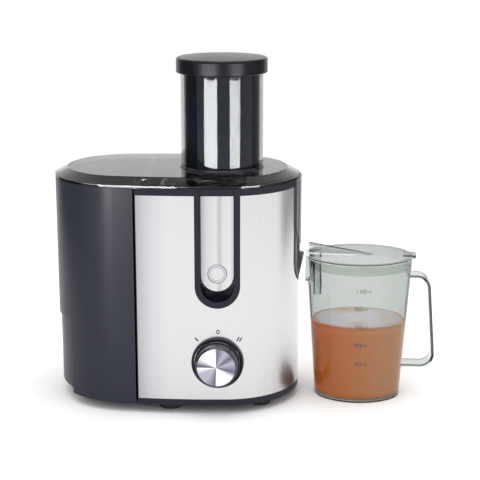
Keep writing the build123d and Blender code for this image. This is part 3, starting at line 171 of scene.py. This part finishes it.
# painted grey along the seam edge: it stands in for the fall of the light, not for a real finish
steel_place = steel.add("ShaderNodeTexCoord")
steel_split = steel.add("ShaderNodeSeparateXYZ")
steel.link(steel_place.outputs["Object"], steel_split.inputs["Vector"])
SEAM_X, SEAM_FADE_X = -0.088, -0.052
seam_tone = steel.spread(steel_split.outputs["X"], 0.0, 0.8, SEAM_X, SEAM_FADE_X)
steel_sum = steel.add("ShaderNodeMath", operation="MULTIPLY_ADD")
steel_sum.inputs[1].default_value = 0.2
steel.link(streak, steel_sum.inputs[0])
steel.link(seam_tone, steel_sum.inputs[2])
steel.tint(
    steel_sum.outputs[0],
    [(0.08, (0.36, 0.36, 0.38)), (0.45, (0.55, 0.55, 0.57)), (0.88, (0.64, 0.64, 0.645))],
)

strip_steel = Look("latch_steel", (0.62, 0.62, 0.63), 0.24, Metallic=1.0)
strip_low, strip_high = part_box("front_latch_plate")
strip_streak = strip_steel.noise(700.0, (1.0, 1.0, 0.012), detail=5.0)
strip_steel.rough(strip_streak, 0.21, 0.29)
strip_steel.bump(strip_streak, 0.000006, 0.15)
strip_place = strip_steel.add("ShaderNodeTexCoord")
strip_split = strip_steel.add("ShaderNodeSeparateXYZ")
strip_steel.link(strip_place.outputs["Object"], strip_split.inputs["Vector"])
across = strip_steel.spread(strip_split.outputs["X"], 0.0, 1.0, strip_low.x, strip_high.x)
# painted soft bands: they stand in for reflections, not for a real finish
strip_steel.tint(
    across,
    [
        (0.0, (0.34, 0.34, 0.36)), (0.16, (0.55, 0.55, 0.56)), (0.45, (0.64, 0.64, 0.65)),
        (0.58, (0.46, 0.46, 0.48)), (0.66, (0.60, 0.60, 0.61)), (0.88, (0.66, 0.66, 0.67)),
        (1.0, (0.48, 0.48, 0.50)),
    ],
)

smoke = Look("smoke_lid", (0.40, 0.41, 0.41), 0.03, Transmission_Weight=1.0, IOR=1.30)
smoke.bump(smoke.noise(60.0, detail=1.0), 0.00003, 0.15)
smoke.clear((0.40, 0.41, 0.40))

pusher = Look("pusher_plastic", (0.010, 0.013, 0.030), 0.12, IOR=1.24)
pusher.bump(pusher.noise(70.0, detail=1.0), 0.00004, 0.2)
pusher.rough(pusher.noise(40.0), 0.08, 0.16)

cap = Look("cap_plastic", (0.005, 0.005, 0.008), 0.28, Specular_IOR_Level=0.13)
cap.moulded(700.0, 0.00003)

jug_glass = Look("jug_clear", (0.97, 0.98, 0.97), 0.02, Transmission_Weight=1.0, IOR=1.49)
jug_glass.bump(jug_glass.noise(45.0, detail=1.0), 0.00004, 0.12)
jug_glass.clear((0.92, 0.94, 0.93)).absorb((0.0, 0.10, 0.04), 125.0)

lid_glass = Look("jug_lid_clear", (0.96, 0.97, 0.96), 0.04, Transmission_Weight=1.0, IOR=1.49)
lid_glass.bump(lid_glass.noise(55.0, detail=1.0), 0.00004, 0.12)
lid_glass.clear((0.88, 0.90, 0.89)).absorb((0.0, 0.10, 0.04), 190.0)

button = Look("button_steel", (0.58, 0.58, 0.60), 0.26, Metallic=1.0)
button.rough(button.noise(500.0, (1, 1, 0.04)), 0.22, 0.34)
# painted pale and dark rings, a painted highlight and painted shade that make the flat face look dished
button_low, button_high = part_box("front_latch_button")
button_place = button.add("ShaderNodeTexCoord")
button_shift = button.add("ShaderNodeMapping")
button_shift.inputs["Location"].default_value = -(button_low + button_high) / 2
button_flat = button.add("ShaderNodeVectorMath", operation="MULTIPLY")
button_flat.inputs[1].default_value = (1, 0, 1)
button_reach = button.add("ShaderNodeVectorMath", operation="LENGTH")
button.link(button_place.outputs["Object"], button_shift.inputs["Vector"])
button.link(button_shift.outputs["Vector"], button_flat.inputs[0])
button.link(button_flat.outputs["Vector"], button_reach.inputs[0])
BUTTON_RADIUS = 0.0103
button_ring_share = button.spread(button_reach.outputs["Value"], 0.0, 1.0, 0.0, BUTTON_RADIUS)
button.tint(
    button_ring_share,
    [
        (0.66, (0.62, 0.62, 0.63)), (0.74, (0.34, 0.34, 0.36)),
        (0.84, (0.62, 0.62, 0.64)), (0.97, (0.30, 0.30, 0.32)),
    ],
)

knob_side = Look("knob_plastic", (0.012, 0.012, 0.018), 0.22, Coat_Weight=0.4, Coat_Roughness=0.1)
knob_side.moulded(800.0, 0.00002)

rubber = Look("rubber", (0.022, 0.022, 0.024), 0.72)
rubber.moulded(1200.0, 0.00006, 0.12)

bowl = Look("bowl_plastic", (0.028, 0.030, 0.038), 0.30)
bowl.moulded(900.0, 0.00003)

bright = Look("bright_steel", (0.74, 0.74, 0.75), 0.22, Metallic=1.0)
bright.rough(bright.noise(300.0, (1, 1, 0.1)), 0.16, 0.32)

plain_steel = Look("plain_steel", (0.56, 0.56, 0.57), 0.34, Metallic=1.0)
plain_steel.rough(plain_steel.noise(400.0), 0.26, 0.42)

alloy = Look("cast_alloy", (0.60, 0.61, 0.62), 0.46, Metallic=1.0)
alloy.moulded(500.0, 0.00012, 0.16)

copper = Look("enamelled_copper", (0.46, 0.15, 0.05), 0.32, Metallic=0.9)
wires = copper.noise(1400.0, (0.15, 0.15, 1.0), detail=1.0)
copper.bump(wires, 0.0003, 0.8)
copper.tint(wires, [(0.35, (0.28, 0.08, 0.03)), (0.65, (0.58, 0.20, 0.07))])

iron = Look("laminated_iron", (0.19, 0.185, 0.18), 0.55, Metallic=0.85)
sheets = iron.noise(2200.0, (0.01, 0.01, 1.0), detail=1.0)
iron.bump(sheets, 0.0002, 0.7)
iron.tint(sheets, [(0.35, (0.10, 0.09, 0.085)), (0.65, (0.25, 0.245, 0.24))])

brass = Look("brass", (0.66, 0.46, 0.16), 0.30, Metallic=1.0)
brass.rough(brass.noise(300.0), 0.24, 0.40)

carbon = Look("carbon", (0.02, 0.02, 0.02), 0.6)
carbon.moulded(1500.0, 0.00005, 0.1)

moulding = Look("dark_moulding", (0.045, 0.045, 0.05), 0.5)
moulding.moulded(800.0, 0.00005, 0.1)

board = Look("circuit_board", (0.02, 0.11, 0.045), 0.4)
traces = board.noise(500.0, (1, 1, 0.3), detail=1.0)
board.tint(traces, [(0.48, (0.02, 0.10, 0.04)), (0.52, (0.04, 0.19, 0.08))])
board.bump(traces, 0.0001, 0.5)

# etched filter mesh: rows of small holes seen as dark dots and felt as dimples
sieve = Look("filter_mesh", (0.60, 0.60, 0.61), 0.30, Metallic=1.0)
sieve_place = sieve.add("ShaderNodeTexCoord")
sieve_holes = sieve.add("ShaderNodeTexVoronoi", feature="F1")
sieve_holes.inputs["Scale"].default_value = 900.0
sieve_holes.inputs["Randomness"].default_value = 0.25
sieve.link(sieve_place.outputs["Object"], sieve_holes.inputs["Vector"])
sieve.bump(sieve_holes.outputs["Distance"], 0.0003, 0.8)
sieve.tint(sieve_holes.outputs["Distance"], [(0.22, (0.02, 0.02, 0.02)), (0.34, (0.60, 0.60, 0.61))])

# spun dial face: its pale and grey sectors are painted reflections and painted shade of the spun finish,
# so they turn with the dial
dial = Look("spun_dial", (0.82, 0.82, 0.84), 0.26, Metallic=1.0)
dial_low, dial_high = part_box("knob_cap")
dial_centre = (dial_low + dial_high) / 2
dial_place = dial.add("ShaderNodeTexCoord")
dial_shift = dial.add("ShaderNodeMapping")
dial_shift.inputs["Location"].default_value = -dial_centre
dial_split = dial.add("ShaderNodeSeparateXYZ")
dial_turn = dial.add("ShaderNodeMath", operation="ARCTAN2")
dial_wave = dial.add("ShaderNodeMath", operation="MULTIPLY")
dial_wave.inputs[1].default_value = 1 / math.tau
dial_lift = dial.add("ShaderNodeMath", operation="ADD")
dial_lift.inputs[1].default_value = 0.5
dial.link(dial_place.outputs["Object"], dial_shift.inputs["Vector"])
dial.link(dial_shift.outputs["Vector"], dial_split.inputs["Vector"])
dial.link(dial_split.outputs["Z"], dial_turn.inputs[0])
dial.link(dial_split.outputs["X"], dial_turn.inputs[1])
dial.link(dial_turn.outputs[0], dial_wave.inputs[0])
dial.link(dial_wave.outputs[0], dial_lift.inputs[0])
PALE, MID, DUSK = (0.95, 0.95, 0.97), (0.42, 0.42, 0.50), (0.13, 0.13, 0.19)
# share of a turn, from the left round by the bottom, the right and the top
dial.tint(
    dial_lift.outputs[0],
    [
        (0.00, PALE), (0.06, MID), (0.15, MID), (0.24, DUSK), (0.255, PALE), (0.40, PALE), (0.46, DUSK),
        (0.55, MID), (0.60, DUSK), (0.66, MID), (0.745, DUSK), (0.76, PALE), (0.90, PALE), (0.98, DUSK),
    ],
)
dial_rings = dial.add("ShaderNodeTexWave", wave_type="RINGS", rings_direction="Y")
dial_rings.inputs["Scale"].default_value = 700.0
dial.link(dial_shift.outputs["Vector"], dial_rings.inputs["Vector"])
dial.bump(dial_rings.outputs["Fac"], 0.00002, 0.35)

# its weak glow makes up for light that the jug's clear walls take away
juice_look = Look(
    "orange_juice", (0.55, 0.17, 0.035), 0.30, Emission_Color=(1.0, 0.22, 0.03, 1), Emission_Strength=0.10
)
pulp = juice_look.noise(55.0, (1, 1, 0.6), detail=6.0)
juice_place = juice_look.add("ShaderNodeTexCoord")
juice_split = juice_look.add("ShaderNodeSeparateXYZ")
juice_look.link(juice_place.outputs["Object"], juice_split.inputs["Vector"])
ORANGE_X, PALE_X = 0.125, 0.195
handle_side_share = juice_look.spread(juice_split.outputs["X"], 0.0, 1.0, ORANGE_X, PALE_X)
cloud = juice_look.add("ShaderNodeMath", operation="MULTIPLY_ADD")
cloud.inputs[1].default_value = 0.35
juice_look.link(pulp, cloud.inputs[0])
juice_look.link(handle_side_share, cloud.inputs[2])
# orange on the spout's side, paler and pinker towards the handle
juice_look.tint(
    cloud.outputs[0], [(0.1, (1.0, 0.21, 0.015)), (0.55, (1.0, 0.31, 0.05)), (1.0, (1.0, 0.44, 0.19))]
)
juice_look.bump(juice_look.noise(600.0), 0.0002, 0.3)

foam_look = Look("juice_foam", (0.95, 0.82, 0.82), 0.55)
froth = foam_look.noise(240.0, detail=6.0)
foam_look.tint(foam_look.noise(40.0, detail=5.0), [(0.3, (1.0, 0.66, 0.50)), (0.55, (1.0, 0.92, 0.98))])
foam_look.bump(froth, 0.0012, 0.9)

ink = Look("print_ink", (0.012, 0.012, 0.014), 0.5)
ink.rough(ink.noise(900.0), 0.42, 0.6)
grey_ink = Look("grey_print", (0.09, 0.095, 0.09), 0.55)
grey_ink.rough(grey_ink.noise(900.0), 0.45, 0.62)

NODE_LOOKS = {
    casing: "base_housing base_plate pulp_container front_latch_arm rear_latch_arm knob_bezel",
    steel: "steel_panel",
    strip_steel: "front_latch_plate rear_latch_plate",
    smoke: "lid",
    pusher: "pusher_tube",
    cap: "pusher_cap",
    jug_glass: "jug_body",
    lid_glass: "jug_lid foam_separator",
    button: "front_latch_button rear_latch_button",
    knob_side: "knob_body",
    dial: "knob_cap",
    rubber: "feet cord_gland motor_mounts shaft_seal",
    bowl: "juice_bowl",
    bright: "filter_basket grater_disc",
    sieve: "basket_mesh",
    plain_steel: (
        "plate_screws motor_bolts motor_shaft latch_pins lower_bearing upper_bearing interlock_spring"
    ),
    alloy: "lower_bracket upper_bracket",
    copper: "field_coils armature_windings commutator",
    iron: "motor_stack armature_core",
    brass: "brush_holders",
    carbon: "carbon_brushes",
    moulding: "rotary_switch interlock_switch interlock_plunger cooling_fan drive_coupling",
    board: "speed_board",
}
for look, names in NODE_LOOKS.items():
    for name in names.split():
        mesh = nodes[name].data
        mesh.materials.clear()
        mesh.materials.append(look.material)


# ------------------------------------------------------------------ shapes
def piece(name, look, body, mesh, smooth=True):
    """Links a finished mesh as a piece of the object that rides on a body."""
    mesh.materials.append(look.material)
    if smooth:
        mesh.shade_smooth()
    made = bpy.data.objects.new(name, mesh)
    scene.collection.objects.link(made)
    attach(made, body)
    return made


def oval_ring(half_length, half_depth, end_radius, centre_x, z, steps=24):
    """The four-arc oval shared with the CAD outlines, as points round the axis."""
    straight = half_length - end_radius
    side = (straight**2 + half_depth**2 - end_radius**2) / (2 * (half_depth - end_radius))
    touch = math.atan2(side - half_depth, straight)
    points = []
    for end, sign in ((straight, 1), (-straight, -1)):
        for i in range(steps):
            a = -touch + 2 * touch * i / steps
            points.append((end + sign * end_radius * math.cos(a), sign * end_radius * math.sin(a)))
        sweep = math.pi - 2 * touch
        for i in range(steps):
            a = touch + sweep * i / steps
            points.append((sign * side * math.cos(a), sign * (side * math.sin(a) - (side - half_depth))))
    return [Vector((centre_x + x, y, z)) * MM for x, y in points]


def lofted(name, rings, cap_ends=True):
    """A mesh through a list of rings with the same number of points."""
    bm = bmesh.new()
    rows = [[bm.verts.new(p) for p in ring] for ring in rings]
    count = len(rings[0])
    for low, high in zip(rows, rows[1:]):
        for i in range(count):
            j = (i + 1) % count
            bm.faces.new((low[i], low[j], high[j], high[i]))
    if cap_ends:
        bm.faces.new(list(reversed(rows[0])))
        bm.faces.new(rows[-1])
    bmesh.ops.recalc_face_normals(bm, faces=bm.faces)
    mesh = bpy.data.meshes.new(name)
    bm.to_mesh(mesh)
    bm.free()
    return mesh


# ------------------------------------------------------------------ juice in the jug
JUG_X, JUG_RIM, JUG_WALL, JUG_FLOOR, JUG_FLATTENING = 154.2, 160.5, 2.6, 4.0, 6.0
JUG_TOP, JUG_BOTTOM = (59.5, 48.0), (48.1, 38.7)
JUICE_TOP = 89.1


def jug_ring(z, inset):
    share = z / JUG_RIM
    half_length = JUG_BOTTOM[0] + share * (JUG_TOP[0] - JUG_BOTTOM[0]) - inset
    half_depth = JUG_BOTTOM[1] + share * (JUG_TOP[1] - JUG_BOTTOM[1]) - inset
    return oval_ring(half_length, half_depth, half_depth - JUG_FLATTENING, JUG_X, z)


WET = 0.35
juice_rings = [jug_ring(JUG_FLOOR - WET, JUG_WALL + 1.0), jug_ring(JUG_FLOOR + 0.4, JUG_WALL - WET)]
juice_rings += [jug_ring(z, JUG_WALL - WET) for z in range(10, int(JUICE_TOP), 10)]
juice_rings += [jug_ring(JUICE_TOP, JUG_WALL - WET), jug_ring(JUICE_TOP - 0.5, JUG_WALL + 1.2)]
juice = piece("juice", juice_look, "jug", lofted("juice", juice_rings))
# the steel shows no reflection of the jug or its juice
for name in ("jug_body", "jug_lid", "foam_separator"):
    nodes[name].visible_glossy = False
juice.visible_glossy = False

foam_rings = [
    jug_ring(JUICE_TOP - 2.0, JUG_WALL + 3.6),
    jug_ring(JUICE_TOP - 0.2, JUG_WALL + 3.0),
    jug_ring(JUICE_TOP + 0.8, JUG_WALL + 3.8),
    jug_ring(JUICE_TOP + 1.1, JUG_WALL + 6.5),
    jug_ring(JUICE_TOP + 0.9, JUG_WALL + 14.0),
    jug_ring(JUICE_TOP + 1.2, JUG_WALL + 24.0),
]
foam = piece("juice_foam", foam_look, "jug", lofted("juice_foam", foam_rings))
foam.visible_glossy = False

# ------------------------------------------------------------------ printed marks
def surface(name):
    """A search tree over a CAD node's mesh."""
    mesh = nodes[name].data
    mesh.calc_loop_triangles()
    corners = [v.co.copy() for v in mesh.vertices]
    return BVHTree.FromPolygons(corners, [tuple(t.vertices) for t in mesh.loop_triangles])


IN_FRONT_Y = -0.3


def printed(name, outlines, tree, look, body, lift=0.00008):
    """Flat (x, z) outlines in mm, laid on the front of a surface and given a little thickness."""
    bm = bmesh.new()
    for outline in outlines:
        face = bm.faces.new([bm.verts.new((x * MM, 0, z * MM)) for x, z in outline])
        face.normal_update()
    bmesh.ops.recalc_face_normals(bm, faces=bm.faces)
    made = bmesh.ops.extrude_face_region(bm, geom=list(bm.faces))
    front = {v for v in made["geom"] if isinstance(v, bmesh.types.BMVert)}
    for v in bm.verts:
        hit = tree.ray_cast(Vector((v.co.x, IN_FRONT_Y, v.co.z)), Vector((0, 1, 0)))[0]
        v.co.y = hit.y - (lift if v in front else -lift)
    bmesh.ops.recalc_face_normals(bm, faces=bm.faces)
    mesh = bpy.data.meshes.new(name)
    bm.to_mesh(mesh)
    bm.free()
    return piece(name, look, body, mesh, smooth=False)


def bar(x, z, length, width, turn=0.0):
    """A rectangle round (x, z), turned clockwise by degrees."""
    c, s = math.cos(math.radians(turn)), math.sin(math.radians(turn))
    corners = ((-width, -length), (width, -length), (width, length), (-width, length))
    return [(x + (a * c + b * s) / 2, z + (-a * s + b * c) / 2) for a, b in corners]


def ring_bars(x, z, half_width, half_height, thickness, count=28):
    """An oval letter O, as a chain of quads."""
    quads = []
    for i in range(count):
        a, b = math.tau * i / count, math.tau * (i + 1) / count
        outer = [(x + half_width * math.cos(t), z + half_height * math.sin(t)) for t in (a, b)]
        inner = [
            (x + (half_width - thickness) * math.cos(t), z + (half_height - thickness) * math.sin(t))
            for t in (b, a)
        ]
        quads.append(outer + inner)
    return quads


steel_front = surface("steel_panel")
printed("mark_off", ring_bars(2.0, 94.7, 1.9, 2.5, 0.95), steel_front, ink, "base")
printed("mark_one", [bar(-21.2, 86.1, 5.4, 1.5, -42)], steel_front, ink, "base")
printed(
    "mark_two",
    [bar(23.5, 86.1, 5.4, 1.35, 30), bar(26.3, 85.4, 5.4, 1.35, 30)],
    steel_front, ink, "base",
)

# seven strokes of a digit: top, upper left, upper right, middle, lower left, lower right, bottom
DIGITS = {"0": "1110111", "1": "0010010", "3": "1011011", "5": "1101011", "7": "1010010", "9": "1111011"}


def digit(char, x, z, width, height, stroke):
    """One plain stroked digit with its lower left corner at (x, z)."""
    w, h, s = width, height, stroke
    strokes = (
        (w / 2, h, 0, w), (0, h * 0.75, 1, h / 2), (w, h * 0.75, 1, h / 2), (w / 2, h / 2, 0, w),
        (0, h / 4, 1, h / 2), (w, h / 4, 1, h / 2), (w / 2, 0, 0, w),
    )
    shapes = []
    for flag, (px, pz, upright, length) in zip(DIGITS[char], strokes):
        if flag == "1":
            tall, wide = (length + s, s) if upright else (s, length - s)
            shapes.append(bar(x + px, z + pz, tall, wide))
    return shapes


jug_front = surface("jug_body")
# the photo's marks at the photo's heights; the modelled jug holds less than they say
GRADUATIONS = (("1100", 132.4), ("900", 111.9), ("700", 90.4), ("500", 69.4), ("300", 46.9))
LABEL_LEFT, DIGIT_STEP, DIGIT_WIDTH, DIGIT_HEIGHT, DIGIT_STROKE = 150.0, 3.3, 1.9, 3.4, 0.55
for label, height in GRADUATIONS:
    shapes = []
    left = LABEL_LEFT
    for char in label:
        shapes += digit(char, left, height - 1.6, DIGIT_WIDTH, DIGIT_HEIGHT, DIGIT_STROKE)
        left += DIGIT_STEP
    left += 0.8
    # "ml" in plain strokes
    shapes += [bar(left + k * 1.0, height - 0.7, 1.8, 0.35) for k in range(3)]
    shapes += [bar(left + 1.0, height + 0.1, 0.35, 2.0), bar(left + 3.2, height, 3.2, 0.38)]
    printed(f"graduation_{label}", shapes, jug_front, grey_ink, "jug")

# ------------------------------------------------------------------ floor and light
floor_look = Look("floor_card", (0.93, 0.93, 0.93), 0.9, Specular_IOR_Level=0.1)
floor_look.rough(floor_look.noise(4.0), 0.86, 0.94)
bpy.ops.mesh.primitive_grid_add(x_subdivisions=2, y_subdivisions=2, size=24.0, location=(0, 0, 0))
floor = bpy.context.object
floor.name = "floor"
floor.data.materials.append(floor_look.material)

world = bpy.data.worlds.new("studio")
scene.world = world
world.use_nodes = True
sky = world.node_tree
backdrop = sky.nodes["Background"]
backdrop.inputs["Color"].default_value = (1, 1, 1, 1)
backdrop.inputs["Strength"].default_value = 1.08


def lamp(name, spot, aim, size, power, color=(1, 1, 1)):
    """A soft rectangular light aimed at a point; the camera doesn't see it."""
    data = bpy.data.lights.new(name, "AREA")
    data.shape = "RECTANGLE"
    data.size, data.size_y = size
    data.energy = power
    data.color = color
    made = bpy.data.objects.new(name, data)
    made.location = spot
    made.rotation_euler = (Vector(aim) - Vector(spot)).to_track_quat("-Z", "Y").to_euler()
    made.visible_camera = False
    scene.collection.objects.link(made)
    return made


lamp("top_softbox", (0.1, -0.2, 1.6), (0, 0, 0.1), (1.6, 1.2), 10)
lamp("front_softbox", (-0.5, -1.6, 1.1), (0, 0, 0.15), (0.5, 1.2), 3)

# two strip lights that only the lid, pusher and cap show, as upright highlights
glossy_pieces = bpy.data.collections.new("glossy_pieces")
for name in ("lid", "pusher_tube", "pusher_cap"):
    glossy_pieces.objects.link(nodes[name])
STRIP_REACH = 0.7  # metres from the motor's axis
STRIP_Z, STRIP_HEIGHT = 0.16, 0.24
for name, turn, width, power in (("strip_left", -26.4, 0.46, 11), ("strip_right", 40.5, 0.36, 7)):
    spot = Vector((math.sin(math.radians(turn)), -math.cos(math.radians(turn)), 0)) * STRIP_REACH
    spot.z = STRIP_Z
    strip = lamp(name, spot, (0, 0, spot.z), (width, STRIP_HEIGHT), power)
    strip.visible_diffuse = False
    strip.light_linking.receiver_collection = glossy_pieces
casing_pieces = bpy.data.collections.new("casing_pieces")
casing_pieces.objects.link(nodes["pulp_container"])
container_strip = lamp("container_strip", (-0.52, -0.95, 0.16), (-0.12, 0, 0.16), (0.16, 0.3), 4)
container_strip.light_linking.receiver_collection = casing_pieces


def card(name, x, y, width, height, shade, turn):
    """An upright dark studio card that only reflections and refractions show."""
    bpy.ops.mesh.primitive_plane_add(size=1.0, location=(x, y, height / 2))
    made = bpy.context.object
    made.name = name
    made.scale = (width, height, 1)
    made.rotation_euler = (math.radians(90), 0, math.radians(turn))
    shade_look = Look(name, (shade, shade, shade), 0.9, Specular_IOR_Level=0.0)
    made.data.materials.append(shade_look.material)
    made.visible_camera = False
    made.visible_diffuse = False
    made.visible_shadow = False
    return made


card("card_right", 0.75, 0.46, 0.8, 0.9, 0.30, 90)
card("card_left", -0.85, 0.1, 0.9, 0.9, 0.12, -90)

scene.view_settings.view_transform = "Standard"
